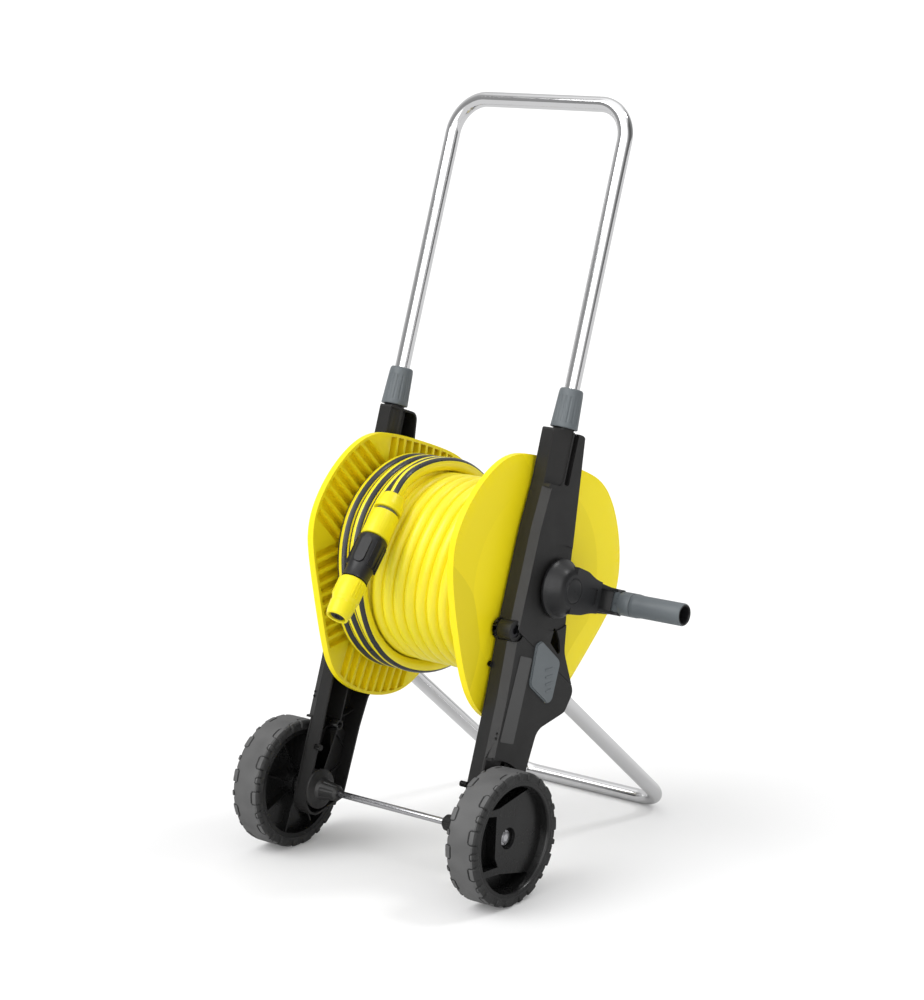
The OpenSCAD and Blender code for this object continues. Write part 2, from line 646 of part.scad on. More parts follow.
// The fixed inlet on the left side: spigot, round cover and a bend that points down and back.
module inlet_elbow() {
    color([0.14, 0.14, 0.15]) drum_side(-1) rotate([0, 0, inlet_back]) difference() {
        union() {
            translate([0, 0, 120]) cylinder(h = 36, r = 9);
            translate([0, 0, panel_out + 2]) rotate_extrude()
                polygon([[0, 0], [26, 0], [26, -2], [30, -2], [30, 3], [27, 6], [15, 7.5], [11, 10], [0, 10]]);
            translate([0, 0, 118]) ring(10.8, 5, 4.4, 4.9);
            translate([0, 0, 119]) cylinder(h = 3.4, r = 13.8);
            translate([0, 0, panel_out + 2]) cylinder(h = 14, r = 11);
            translate([12, 0, 156.5]) rotate([90, 0, 180]) rotate_extrude(angle = 90) translate([12, 0]) circle(r = 11);
            translate([12, 0, 168.5]) rotate([0, 90, 0]) cylinder(h = 16, r = 11);
            translate([28, 0, 168.5]) rotate([0, 90, 0]) cylinder(h = 6, r = 13, $fn = 6);
        }
        translate([0, 0, 100]) cylinder(h = 56.5, r = 5);
        translate([12, 0, 156.5]) rotate([90, 0, 180]) rotate_extrude(angle = 90) translate([12, 0]) circle(r = 5);
        translate([11, 0, 168.5]) rotate([0, 90, 0]) cylinder(h = 40, r = 5);
    }
}

// The nipple that a tap hose's connector snaps onto.
module inlet_nipple() {
    color([0.4, 0.42, 0.44]) drum_side(-1) rotate([0, 0, inlet_back]) translate([34, 0, 168.5]) rotate([0, 90, 0])
        rotate_extrude() polygon([[5, 0], [10.5, 0], [10.5, 4], [nipple_r, 4], [nipple_r, 16], [7.6, 17],
            [7.6, 20], [nipple_r - 0.4, 21], [nipple_r - 0.4, 25], [7.4, 27], [5, 27]]);
}

// ---------------------------------------------------------------- hose and its fittings

module hose_winding() {
    color([0.96, 0.86, 0.12]) drum_side() rotate_extrude() polygon([
        [core_r + 0.1, -flange_in + 0.3], [outer_r, -flange_in + 0.3], [outer_r, outer_x],
        [layer_r, outer_x], [layer_r, flange_in - 0.3], [core_r + 0.1, flange_in - 0.3]]);
}

function tail_point(p) = [p[0], p[2] * cos(p[1]), p[2] * sin(p[1])];

// A tube of 10 sides swept along the hose's route, its first and last rings square to the path.
module hose_tail() {
    route = [for (p = hose_tail_route) tail_point(p), nozzle_start];
    n = len(route);
    sides = 10;
    function along(i) = unit(route[min(i + 1, n - 1)] - route[max(i - 1, 0)]);
    last = unit(nozzle_end - nozzle_start);
    rings = [for (i = [0:n - 1])
        let(t = i == n - 1 ? last : along(i), u = unit([1, 0, 0] - t * t[0]), w = cross(t, u))
        for (k = [0:sides - 1]) route[i] + hose_d / 2 * (u * cos(36 * k) + w * sin(36 * k))];
    color([0.96, 0.86, 0.12]) lean_side() translate([0, drum_l, drum_s]) polyhedron(rings, [
        [for (k = [0:sides - 1]) k],
        [for (k = [0:sides - 1]) n * sides - 1 - k],
        for (i = [0:n - 2], k = [0:sides - 1], half = [0, 1])
            let(a = i * sides + k, b = i * sides + (k + 1) % sides)
            half == 0 ? [a, a + sides, b] : [b, a + sides, b + sides]
    ]);
}

module hose_nut() {
    color([0.96, 0.86, 0.1]) nozzle_line() difference() {
        rotate_extrude() polygon([[0, 0], [12.4, 0], [13.4, 1.5], [17, 15], [17, 19.6], [16.2, 20.6], [0, 20.6]]);
        for (a = [0:20:340]) rotate([0, 0, a]) translate([18.4, 0, 6]) rotate([0, 3, 0]) cylinder(h = 20, r = 1.9);
        translate([0, 0, 4]) cylinder(h = 30, r = 6);
    }
}

// The quick connector's body with its claws, inside the sleeve.
module hose_connector() {
    color([0.16, 0.16, 0.17]) nozzle_line() {
        ring(13, 6, 20.6, 24.4);
        ring(11.2, 6, 24.3, 58);
    }
}

module connector_sleeve() {
    color([0.96, 0.86, 0.1]) nozzle_line() rotate_extrude()
        polygon([[11.5, 27], [13.4, 27], [13.4, 24.8], [15.9, 24.8], [16.9, 26.4], [16.9, 57], [15.6, 58.4], [11.5, 58.4]]);
}

module nozzle_body() {
    color([0.22, 0.22, 0.24]) nozzle_line() difference() {
        union() {
            rotate_extrude() polygon([[5, 58], [11, 58], [11, 58.7], [15.4, 58.7], [17.6, 61], [17.9, 74], [17.2, 88],
                [15.4, 104], [15.4, 114], [16, 116], [9, 116], [9, 126], [5, 126]]);
            // the oval thumb pad and the raised grip ribs beside it
            for (a = [-10, 170]) rotate([0, 0, a]) translate([13.6, 0, 82]) rotate([0, 90, 0])
                linear_extrude(5) polygon(rounded([[-17, -6, 5.9], [17, -6, 5.9], [17, 6, 5.9], [-17, 6, 5.9]]));
            for (a = [50:20:130], side = [0, 180]) rotate([0, 0, a + side]) translate([14, -0.8, 66]) cube([4.6, 1.6, 32]);
        }
        translate([0, 0, 50]) cylinder(h = 100, r = 5);
    }
}

module nozzle_tip() {
    color([0.97, 0.9, 0.1]) nozzle_line() {
        rotate_extrude() polygon([[9 + run, 117], [15.2, 117], [16.2, 118.5], [16.2, 141], [15, 145], [14.6, 147],
            [15.2, 148.5], [14.2, 160], [12.8, nozzle_l], [10.4, nozzle_l], [10.4, nozzle_l - 4],
            [7.4, nozzle_l - 4], [7.4, nozzle_l - 1], [3, nozzle_l - 1], [3, 130], [9 + run, 128]]);
        for (a = [0:120:240], j = [-1:1]) rotate([0, 0, a + 12 * j]) translate([14, -0.8, 120])
            cube([3.4, 1.6, 20]);
    }
}

// ---------------------------------------------------------------- crank

module crank_arm() {
    color([0.13, 0.13, 0.14]) difference() {
        union() {
            drum_side() rotate_extrude() polygon([[0, journal_end], [14, journal_end], [14, hub_back],
                [34.7, hub_back], [34.7, 145.6], [33.2, 146.6], [28, 156], [25.5, 160], [22.5, 162.8],
                [19, hub_face], [0, hub_face]]);
            lean_side() translate([0, drum_l, drum_s]) {
                difference() {
                    across(147, hub_face) polygon(rounded([[0, -27, 0], [22, -25, 30], [40, -20, 60],
                        [93, -ear_s, 5], [93, ear_s, 5], [40, 19.5, 60], [22, 26, 30], [0, 28, 0]]));
                    // its outer face slopes down to the floor of the fork
                    translate([0, 0, -40]) linear_extrude(80)
                        polygon([[hub_face, 53], [156, 64], [156, 100], [190, 100], [190, 53]]);
                }
                // the two ears of the fork
                for (s = [-ear_s, ear_s - ear_t]) translate([0, 0, s]) linear_extrude(ear_t) {
                    translate([pin_x, crank_reach]) circle(r = 5.5);
                    polygon([[150, 52], [163, 53], [165.5, 68], [pin_x, crank_reach - 5.5],
                             [pin_x, crank_reach + 5.5], [164, 92], [150, 92]]);
                }
            }
        }
        drum_side() {
            translate([0, 0, 160.5]) cylinder(h = 10, r = 14.7);
            translate([0, 0, 140]) cylinder(h = 30, r = 3.2);
            translate([0, 0, 156]) cylinder(h = 10, r = 6.5);
        }
        lean_side() translate([0, drum_l, drum_s]) {
            across(162.8, 165) polygon(rounded([[30, -9, 2], [46, -9, 2], [46, 9, 2], [30, 9, 2]]));
            translate([pin_x, crank_reach, -30]) cylinder(h = 60, r = pin_r + run);
        }
    }
}

module crank_screw() {
    color([0.6, 0.6, 0.62]) drum_side() {
        translate([0, 0, 128]) cylinder(h = 30, r = 2.4);
        translate([0, 0, 156]) cylinder(h = 3.6, r = 5.5);
    }
}

module crank_cover() {
    color([0.12, 0.12, 0.13]) drum_side() rotate_extrude()
        polygon([[0, 161], [14.3, 161], [14.3, 163.8], [13.6, 164.4], [0, 165.2]]);
}

module grip_pin() {
    color([0.6, 0.6, 0.62]) lean_side() translate([pin_x, drum_l + crank_reach, drum_s - ear_s])
        cylinder(h = 2 * ear_s, r = pin_r);
}

// The hinged piece that carries the grip's spindle: a tongue between the ears, then a round collar.
module grip_knuckle() {
    tongue = 2 * (ear_s - ear_t - slack);
    color([0.42, 0.44, 0.46]) difference() {
        lean_side() translate([pin_x, drum_l + crank_reach, drum_s]) {
            translate([0, 0, -tongue / 2]) cylinder(h = tongue, r = 8);
            translate([0, -8, -tongue / 2]) cube([8, 16, tongue]);
            rotate([0, 90, 0]) {
                translate([0, 0, 7]) cylinder(h = grip_from - pin_x - 7.3, r = 14.2);
                cylinder(h = 74, r = spindle_r);
            }
        }
        lean_side() translate([pin_x, drum_l + crank_reach, drum_s - 30]) cylinder(h = 60, r = pin_r + run);
        lean_side() translate([pin_x + 40, drum_l + crank_reach, drum_s]) rotate([0, 90, 0]) cylinder(h = 40, r = 2);
    }
}

module grip_screw() {
    color([0.6, 0.6, 0.62]) lean_side() translate([pin_x, drum_l + crank_reach, drum_s]) rotate([0, 90, 0]) {
        translate([0, 0, 50]) cylinder(h = 26, r = 1.9);
        translate([0, 0, 74.2]) cylinder(h = 1.4, r = 9.6);
        translate([0, 0, 75.5]) cylinder(h = 2.5, r = 3.5);
    }
}

module crank_grip() {
    color([0.45, 0.47, 0.49]) lean_side() translate([0, drum_l + crank_reach, drum_s]) rotate([0, 90, 0])
        rotate_extrude() polygon([[spindle_r + run, grip_from], [14.2, grip_from],
            [14.2, grip_from + 5], [grip_d / 2, grip_from + 12], [grip_d / 2, grip_end - 2],
            [grip_d / 2 - 1, grip_end], [10.8, grip_end], [10, grip_end - 1], [10, 243.6],
            [spindle_r + run, 243.6]]);
}

lower_panel(1);  // lower_panel_right
lower_panel(-1);  // lower_panel_left
upper_panel(1);  // upper_panel_right
upper_panel(-1);  // upper_panel_left
panel_bolts();
label_plate();
axle();
axle_bush(1);  // axle_bush_right
axle_bush(-1);  // axle_bush_left
axle_clip(1);  // axle_clip_right
axle_clip(-1);  // axle_clip_left
wheel_rim(1);  // wheel_rim_right
wheel_rim(-1);  // wheel_rim_left
tyre(1);  // tyre_right
tyre(-1);  // tyre_left
stand_tube();
stand_screws();
stand_latch(1);  // stand_latch_right
stand_latch(-1);  // stand_latch_left
handle_tube();
handle_plugs();
clamp_collar(1);  // clamp_collar_right
clamp_collar(-1);  // clamp_collar_left
collet(1);  // collet_right
collet(-1);  // collet_left
bearing_ring(1);  // bearing_ring_right
bearing_ring(-1);  // bearing_ring_left
flange(1);  // flange_right
flange(-1);  // flange_left
drum_core();
drum_screws();
water_elbow();
water_seal();
inlet_elbow();
inlet_nipple();
hose_winding();
hose_tail();
hose_nut();
hose_connector();
connector_sleeve();
nozzle_body();
nozzle_tip();
crank_arm();
crank_screw();
crank_cover();
grip_pin();
grip_knuckle();
grip_screw();
crank_grip();
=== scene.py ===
"""The looks of a garden hose reel cart: a leaning two-wheeled frame with a hand-cranked drum of hose.
Lengths are in metres unless a comment says millimetres. Places on the frame are given as x, l and s: across,
backwards and up along the lean."""
import json
import math

import bpy
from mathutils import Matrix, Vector


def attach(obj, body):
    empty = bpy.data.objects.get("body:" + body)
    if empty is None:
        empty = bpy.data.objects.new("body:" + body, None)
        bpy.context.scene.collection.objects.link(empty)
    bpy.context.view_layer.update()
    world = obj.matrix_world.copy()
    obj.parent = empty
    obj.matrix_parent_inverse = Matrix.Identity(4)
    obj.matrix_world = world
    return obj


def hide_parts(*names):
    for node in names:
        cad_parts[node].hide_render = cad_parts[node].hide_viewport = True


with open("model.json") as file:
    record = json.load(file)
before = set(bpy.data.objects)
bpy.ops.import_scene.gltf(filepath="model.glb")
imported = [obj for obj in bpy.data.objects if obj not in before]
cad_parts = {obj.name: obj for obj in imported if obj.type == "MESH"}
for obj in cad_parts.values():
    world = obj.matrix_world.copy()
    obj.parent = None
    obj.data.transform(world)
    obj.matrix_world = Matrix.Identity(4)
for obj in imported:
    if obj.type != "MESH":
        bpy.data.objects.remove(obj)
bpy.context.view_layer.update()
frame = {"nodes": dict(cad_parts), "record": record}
nodes = frame["nodes"]

MM = 0.001
LEAN = math.radians(19.4)
CENTRE = Vector((39.4, 158.75, 0)) * MM       # from the floor under the axle's middle to the frame's origin
AXLE_Z = 77.5                                 # millimetres, as the next four are
LEAN_Y = 3.6                                  # how far behind the axle the lean frame starts
DRUM = (35, 287)                              # the drum's axis, l and s
DRUM_SIDE = 86.9                              # the middle of the hose where it lies against a flange
HOSE_D = 16.5
TUBE_R = 9 * MM
SIDES = {"right": 1, "left": -1}


def lean_point(x, l, s):
    """A point of the lean frame, given in millimetres, in metres from the frame's origin."""
    y = LEAN_Y + l * math.cos(LEAN) + s * math.sin(LEAN)
    z = AXLE_Z + s * math.cos(LEAN) - l * math.sin(LEAN)
    return Vector((x, y, z)) * MM - CENTRE


def drum_point(x, angle, r):
    """A point about the drum's axis; the angle in degrees rises from the rear over the top to the front."""
    a = math.radians(angle)
    return lean_point(x, DRUM[0] + r * math.cos(a), DRUM[1] + r * math.sin(a))


# ---------------------------------------------------------------- camera, floor and light

LENS = 93.78                                  # millimetres, on a sensor 36 wide
LOOK_AT = Vector((2.71, 127.47, 422.73)) * MM - CENTRE
AZIMUTH, ELEVATION, DISTANCE = 38.89, 11.87, 3.05594


def look_from(target, azimuth, elevation, distance):
    """A place seen from the target at these angles and distance, and the direction to it."""
    a, e = math.radians(azimuth), math.radians(elevation)
    back = Vector((math.sin(a) * math.cos(e), -math.cos(a) * math.cos(e), math.sin(e)))
    return target + back * distance, back


def make_camera():
    data = bpy.data.cameras.new("camera")
    data.sensor_width = 36
    data.lens = LENS
    data.clip_end = 400
    camera = bpy.data.objects.new("camera", data)
    bpy.context.scene.collection.objects.link(camera)
    camera.location, back = look_from(LOOK_AT, AZIMUTH, ELEVATION, DISTANCE)
    camera.rotation_euler = back.to_track_quat("Z", "Y").to_euler()
    bpy.context.scene.camera = camera


SUNS = [("key", 1.3, -25, 48, 40), ("back", 0.5, 135, 58, 12)]   # strength, azimuth, elevation, angle across
BRIGHT_SIDE = (-0.45, -0.5, 0.74)             # where the tent is brightest
SHADE, LIT = 0.18, 1.05                       # its light away from there and from there
BACKDROP = 1.05                               # what the camera sees of it
OVERHEAD = 1.1                                # what shiny surfaces see overhead
OVERHEAD_FROM, OVERHEAD_TO = 0.7, 0.92        # the height of a direction where the strips fade into that
# each strip's place round the horizon, from 0 to 1, and its level
STRIPS = [(0.0, 0.5), (0.09, 0.3), (0.19, 0.25), (0.235, 0.9), (0.262, 3.6), (0.3, 3.6),
          (0.325, 1.0), (0.35, 1.0), (0.37, 2.6), (0.41, 2.6), (0.44, 0.95), (0.5, 0.3),
          (0.55, 0.12), (0.62, 0.1), (0.66, 0.25), (0.7, 0.15), (0.76, 0.6), (0.97, 0.6)]
STRIP_MAX = 4.0                               # the ramp holds the strips' levels divided by this
FLOOR_HALF = 70
FLOOR_COLOUR = (0.8, 0.5)                     # as it is, and as shiny surfaces see it
FLOOR_GLOW = (0.12, 0.03)


def shade_node(tree, kind, operation=None, **inputs):
    """A new node; _1=value sets its input 1."""
    node = tree.nodes.new(kind)
    if operation:
        node.operation = operation
    for key, value in inputs.items():
        node.inputs[int(key[1:])].default_value = value
    return node


def grey_ramp(tree, stops):
    """A ramp of greys from (place, level) pairs."""
    node = tree.nodes.new("ShaderNodeValToRGB")
    ramp = node.color_ramp
    while len(ramp.elements) < len(stops):
        ramp.elements.new(0.5)
    for element, (place, level) in zip(ramp.elements, stops):
        element.position = place
        element.color = (level, level, level, 1)
    return node


def make_studio():
    """A white tent, brighter on the front left, with strips that only shiny surfaces see."""
    scene = bpy.context.scene
    scene.view_settings.view_transform = "Standard"
    world = bpy.data.worlds.new("studio")
    world.use_nodes = True
    scene.world = world
    tree = world.node_tree
    link = tree.links.new
    background = tree.nodes["Background"]
    where = tree.nodes.new("ShaderNodeTexCoord")
    axes = tree.nodes.new("ShaderNodeSeparateXYZ")
    link(where.outputs["Generated"], axes.inputs[0])
    # diffuse light falls off from the front left and the top to the back right
    toward = shade_node(tree, "ShaderNodeVectorMath", "DOT_PRODUCT", _1=BRIGHT_SIDE)
    link(where.outputs["Generated"], toward.inputs[0])
    soft = shade_node(tree, "ShaderNodeMapRange", None, _1=-1.0, _2=1.0, _3=SHADE, _4=LIT)
    link(toward.outputs["Value"], soft.inputs[0])
    # the strips follow the direction round the horizon
    turn = shade_node(tree, "ShaderNodeMath", "ARCTAN2")
    link(axes.outputs["Y"], turn.inputs[0])
    link(axes.outputs["X"], turn.inputs[1])
    place = shade_node(tree, "ShaderNodeMapRange", None, _1=-math.pi, _2=math.pi)
    link(turn.outputs[0], place.inputs[0])
    ramp = grey_ramp(tree, [(p, level / STRIP_MAX) for p, level in STRIPS])
    link(place.outputs[0], ramp.inputs[0])
    strips = shade_node(tree, "ShaderNodeMath", "MULTIPLY", _1=STRIP_MAX)
    link(ramp.outputs[0], strips.inputs[0])
    overhead = shade_node(tree, "ShaderNodeMapRange", None, _1=OVERHEAD_FROM, _2=OVERHEAD_TO)
    link(axes.outputs["Z"], overhead.inputs[0])
    reflected = tree.nodes.new("ShaderNodeMixRGB")
    reflected.inputs[2].default_value = (OVERHEAD, OVERHEAD, OVERHEAD, 1)
    link(overhead.outputs[0], reflected.inputs[0])
    link(strips.outputs[0], reflected.inputs[1])
    path = tree.nodes.new("ShaderNodeLightPath")
    shiny = tree.nodes.new("ShaderNodeMixRGB")
    link(path.outputs["Is Glossy Ray"], shiny.inputs[0])
    link(soft.outputs[0], shiny.inputs[1])
    link(reflected.outputs[0], shiny.inputs[2])
    seen = tree.nodes.new("ShaderNodeMixRGB")
    seen.inputs[2].default_value = (BACKDROP, BACKDROP, BACKDROP, 1)
    link(path.outputs["Is Camera Ray"], seen.inputs[0])
    link(shiny.outputs[0], seen.inputs[1])
    link(seen.outputs[0], background.inputs["Color"])
    for name, strength, azimuth, elevation, across in SUNS:
        data = bpy.data.lights.new(name, "SUN")
        data.energy = strength
        data.angle = math.radians(across)
        lamp = bpy.data.objects.new(name, data)
        scene.collection.objects.link(lamp)
        back = look_from(Vector((0, 0, 0)), azimuth, elevation, 1)[1]
        lamp.rotation_euler = back.to_track_quat("Z", "Y").to_euler()


def make_floor():
    mesh = bpy.data.meshes.new("floor")
    corners = [(x * FLOOR_HALF, y * FLOOR_HALF, 0) for x, y in ((-1, -1), (1, -1), (1, 1), (-1, 1))]
    mesh.from_pydata(corners, [], [(0, 1, 2, 3)])
    floor = bpy.data.objects.new("floor", mesh)
    bpy.context.scene.collection.objects.link(floor)
    material = bpy.data.materials.new("pale_floor")
    material.use_nodes = True
    shader = material.node_tree.nodes["Principled BSDF"]
    shader.inputs["Roughness"].default_value = 1.0
    shader.inputs["Specular IOR Level"].default_value = 0.0
    shader.inputs["Emission Color"].default_value = (1, 1, 1, 1)
    # shiny tubes see a darker floor, which gives them an edge against the pale one
    path = material.node_tree.nodes.new("ShaderNodeLightPath")
    for socket, (plain, mirrored) in (("Base Color", FLOOR_COLOUR), ("Emission Strength", FLOOR_GLOW)):
        level = shade_node(material.node_tree, "ShaderNodeMapRange", None, _3=plain, _4=mirrored)
        material.node_tree.links.new(path.outputs["Is Glossy Ray"], level.inputs[0])
        material.node_tree.links.new(level.outputs[0], shader.inputs[socket])
    mesh.materials.append(material)


make_camera()
make_studio()
make_floor()

# ---------------------------------------------------------------- materials

BOUNCE_REACH = 0.09                           # further than this, yellow plastic throws the grey below
BOUNCE_GREY = 0.45
SIDE_ON_FADE = 0.015
PATTERN_LOW, PATTERN_HIGH = 0.3, 0.7          # the part of a noise that carries the pattern


def new_material(name):
    material = bpy.data.materials.new(name)
    material.use_nodes = True
    tree = material.node_tree
    return material, tree, tree.nodes["Principled BSDF"]


def noise(tree, scale, detail):
    where = tree.nodes.new("ShaderNodeTexCoord")
    node = tree.nodes.new("ShaderNodeTexNoise")
    node.inputs["Scale"].default_value = scale
    node.inputs["Detail"].default_value = detail
    tree.links.new(where.outputs["Object"], node.inputs["Vector"])
    return node.outputs["Fac"]


def spread_over(tree, source, low, high, socket):
    """Drives a socket between two values by a pattern."""
    node = tree.nodes.new("ShaderNodeMapRange")
    node.inputs["From Min"].default_value = PATTERN_LOW
    node.inputs["From Max"].default_value = PATTERN_HIGH
    node.inputs["To Min"].default_value = low
    node.inputs["To Max"].default_value = high
    tree.links.new(source, node.inputs["Value"])
    tree.links.new(node.outputs[0], socket)


def tint(tree, source, dark, light, socket):
    """Drives a colour socket between two colours by a pattern."""
    node = tree.nodes.new("ShaderNodeValToRGB")
    node.color_ramp.elements[0].position = PATTERN_LOW
    node.color_ramp.elements[0].color = (*dark, 1)
    node.color_ramp.elements[1].position = PATTERN_HIGH
    node.color_ramp.elements[1].color = (*light, 1)
    tree.links.new(source, node.inputs[0])
    tree.links.new(node.outputs[0], socket)


def emboss(tree, shader, source, height, normal=None):
    """Bumps the surface by a pattern, on top of an earlier bump where one is given."""
    node = tree.nodes.new("ShaderNodeBump")
    node.inputs["Distance"].default_value = height
    tree.links.new(source, node.inputs["Height"])
    if normal:
        tree.links.new(normal, node.inputs["Normal"])
    tree.links.new(node.outputs[0], shader.inputs["Normal"])
    return node.outputs[0]


def calm_bounce(tree, shader):
    """Greys the colour that the surface throws on things well away from it, so that the floor's shadow stays
    neutral. It isn't physical."""
    path = tree.nodes.new("ShaderNodeLightPath")
    far = shade_node(tree, "ShaderNodeMath", "GREATER_THAN", _1=BOUNCE_REACH)
    tree.links.new(path.outputs["Ray Length"], far.inputs[0])
    indirect = shade_node(tree, "ShaderNodeMath", "MAXIMUM")
    tree.links.new(path.outputs["Is Diffuse Ray"], indirect.inputs[0])
    tree.links.new(path.outputs["Is Glossy Ray"], indirect.inputs[1])
    both = shade_node(tree, "ShaderNodeMath", "MULTIPLY")
    tree.links.new(far.outputs[0], both.inputs[0])
    tree.links.new(indirect.outputs[0], both.inputs[1])
    mix = tree.nodes.new("ShaderNodeMixRGB")
    mix.inputs[2].default_value = (BOUNCE_GREY, BOUNCE_GREY, BOUNCE_GREY, 1)
    colour = shader.inputs["Base Color"]
    tree.links.new(colour.links[0].from_socket, mix.inputs[1])
    tree.links.new(both.outputs[0], mix.inputs[0])
    tree.links.new(mix.outputs[0], colour)


def paint_light_by_facing(material, direction, start, end, low, high, side_on=None):
    """Paints light and shade into the base colour: scales it from low to high as the surface turns towards a
    fixed direction, painted shade below 1 and painted highlight above 1. It isn't physical: it makes shallow
    facets read where the light alone doesn't, and it doesn't turn with a part.
    side_on limits it to surfaces that face along X within that cosine."""
    tree = material.node_tree
    shader = tree.nodes["Principled BSDF"]
    link = tree.links.new
    facing = tree.nodes.new("ShaderNodeNewGeometry").outputs["True Normal"]
    toward = shade_node(tree, "ShaderNodeVectorMath", "DOT_PRODUCT", _1=Vector(direction).normalized())
    link(facing, toward.inputs[0])
    gain = shade_node(tree, "ShaderNodeMapRange", None, _1=start, _2=end, _3=low, _4=high)
    link(toward.outputs["Value"], gain.inputs[0])
    level = gain.outputs[0]
    if side_on:
        axes = tree.nodes.new("ShaderNodeSeparateXYZ")
        link(facing, axes.inputs[0])
        along = shade_node(tree, "ShaderNodeMath", "ABSOLUTE")
        link(axes.outputs["X"], along.inputs[0])
        broad = shade_node(tree, "ShaderNodeMapRange", None, _1=side_on, _2=side_on + SIDE_ON_FADE)
        link(along.outputs[0], broad.inputs[0])
        held = shade_node(tree, "ShaderNodeMix", None, _2=1.0)
        link(broad.outputs[0], held.inputs[0])
        link(level, held.inputs[3])
        level = held.outputs[0]
    scaled = shade_node(tree, "ShaderNodeVectorMath", "SCALE")
    colour = shader.inputs["Base Color"]
    link(colour.links[0].from_socket, scaled.inputs[0])
    link(level, scaled.inputs["Scale"])
    link(scaled.outputs[0], colour)


def moulded(name, colour, roughness, grain, vary, shine, scatter=0.0, waves=0.00012):
    """Injection-moulded plastic: fine spark-eroded grain, faint flow clouds and uneven sheen. Where scatter
    is given, light passes a little way in and calm_bounce greys what it throws on other things."""
    material, tree, shader = new_material(name)
    clouds = noise(tree, 9, 4)
    tint(tree, clouds, [c * (1 - vary) for c in colour], [min(c * (1 + vary), 1) for c in colour],
         shader.inputs["Base Color"])
    spread_over(tree, noise(tree, 40, 3), roughness - 0.05, roughness + 0.05, shader.inputs["Roughness"])
    soft = emboss(tree, shader, noise(tree, 30, 1), waves)
    emboss(tree, shader, noise(tree, 1900, 2), grain, soft)
    shader.inputs["Specular IOR Level"].default_value = shine
    if scatter:
        shader.inputs["Subsurface Weight"].default_value = scatter
        shader.inputs["Subsurface Radius"].default_value = (0.004, 0.003, 0.0006)
        shader.inputs["Subsurface Scale"].default_value = 0.5
        calm_bounce(tree, shader)
    return material


def metal(name, colour, roughness, brushed=0.0):
    material, tree, shader = new_material(name)
    shader.inputs["Metallic"].default_value = 1
    tint(tree, noise(tree, 14, 4), [c * 0.96 for c in colour], colour, shader.inputs["Base Color"])
    spread_over(tree, noise(tree, 180, 4), roughness * 0.8, roughness * 1.3, shader.inputs["Roughness"])
    if brushed:
        emboss(tree, shader, noise(tree, 1500, 2), brushed)
    return material


def rubber(name, colour):
    material, tree, shader = new_material(name)
    tint(tree, noise(tree, 30, 5), [c * 0.8 for c in colour], [c * 1.2 for c in colour],
         shader.inputs["Base Color"])
    spread_over(tree, noise(tree, 120, 4), 0.55, 0.75, shader.inputs["Roughness"])
    emboss(tree, shader, noise(tree, 1400, 3), 0.0002)
    return material


PANEL = moulded("panel_plastic", (0.015, 0.0147, 0.0145), 0.42, 0.00016, 0.15, 0.3)
BLACK = moulded("black_plastic", (0.013, 0.013, 0.014), 0.34, 0.00006, 0.12, 0.4)
RIM = moulded("rim_plastic", (0.008, 0.008, 0.008), 0.26, 0.00005, 0.12, 0.4)
LABEL = moulded("label_blank", (0.06, 0.06, 0.06), 0.35, 0.00002, 0.08, 0.4)
GREY = moulded("grey_plastic", (0.125, 0.142, 0.152), 0.42, 0.0001, 0.06, 0.45)
YELLOW = moulded("drum_plastic", (0.96, 0.785, 0.008), 0.38, 0.00004, 0.02, 0.25, scatter=0.1)
FITTING = moulded("fitting_plastic", (0.88, 0.76, 0.008), 0.36, 0.00003, 0.02, 0.4, scatter=0.08)
HOSE = moulded("hose_yellow", (0.95, 0.82, 0.02), 0.33, 0.00001, 0.02, 0.6, scatter=0.15, waves=0.00003)
STRIPE = moulded("hose_stripe", (0.028, 0.03, 0.036), 0.3, 0.00001, 0.1, 0.5, waves=0.00003)
SEAL = rubber("seal_rubber", (0.01, 0.01, 0.01))
TYRE = rubber("tyre_rubber", (0.1, 0.1, 0.1))
TYRE_SIDE = rubber("tyre_side_rubber", (0.022, 0.022, 0.022))
# near-black rubber for painted shade in the grooves along the lugs' edges
TYRE_GROOVE_SHADE = rubber("tyre_groove_painted_shade", (0.009, 0.009, 0.009))
CHROME = metal("tube_chrome", (0.92, 0.92, 0.93), 0.08)
STEEL = metal("axle_steel", (0.62, 0.62, 0.64), 0.22, 0.00003)
ZINC = metal("bolt_steel", (0.45, 0.45, 0.47), 0.3, 0.00004)
BOLT = metal("dark_bolt", (0.05, 0.05, 0.055), 0.4, 0.00004)

# painted shade on the flanges' shallow facets that lean to the front and down, and a faint painted highlight
# on those leaning back and up
paint_light_by_facing(YELLOW, direction=(0, 0.98, 0.18), start=-0.09, end=0.05, low=0.82, high=1.05, side_on=0.96)
# a painted highlight on the panels' front bevels, up to 2.4 times lighter
paint_light_by_facing(PANEL, direction=(1, -1, 0), start=0.8, end=0.93, low=1.0, high=2.4)

SLOT_MATERIALS = {
    "panel_plastic": PANEL, "black_plastic": BLACK, "bolt_steel": ZINC, "axle_steel": STEEL,
    "tyre_rubber": TYRE, "tube_chrome": CHROME, "grey_plastic": GREY, "drum_plastic": YELLOW,
    "hose_yellow": HOSE, "seal_rubber": SEAL,
}
NODE_MATERIALS = {
    "panel_bolts": BOLT, "label_plate": LABEL, "wheel_rim_right": RIM, "wheel_rim_left": RIM,
    "hose_nut": FITTING, "connector_sleeve": FITTING, "nozzle_tip": FITTING, "grip_screw": BLACK,
}

# the joint that turns the piece, whose axis is the bore's, and the radius in millimetres within which the
# bore's inside gets painted shade (the black material)
SHADED_BORES = {"crank_grip": ("grip_turn", 12.0), "nozzle_tip": ("tip_twist", 9.5)}

WELD_REACH = 0.00002
EDGE_ANGLE = math.radians(32)                 # edges sharper than this are softened
WIDE_EDGE, FINE_EDGE = 0.0012, 0.0006
WIDE_EDGES = ("lower_panel", "upper_panel", "flange", "wheel_rim", "crank_arm", "stand_latch")


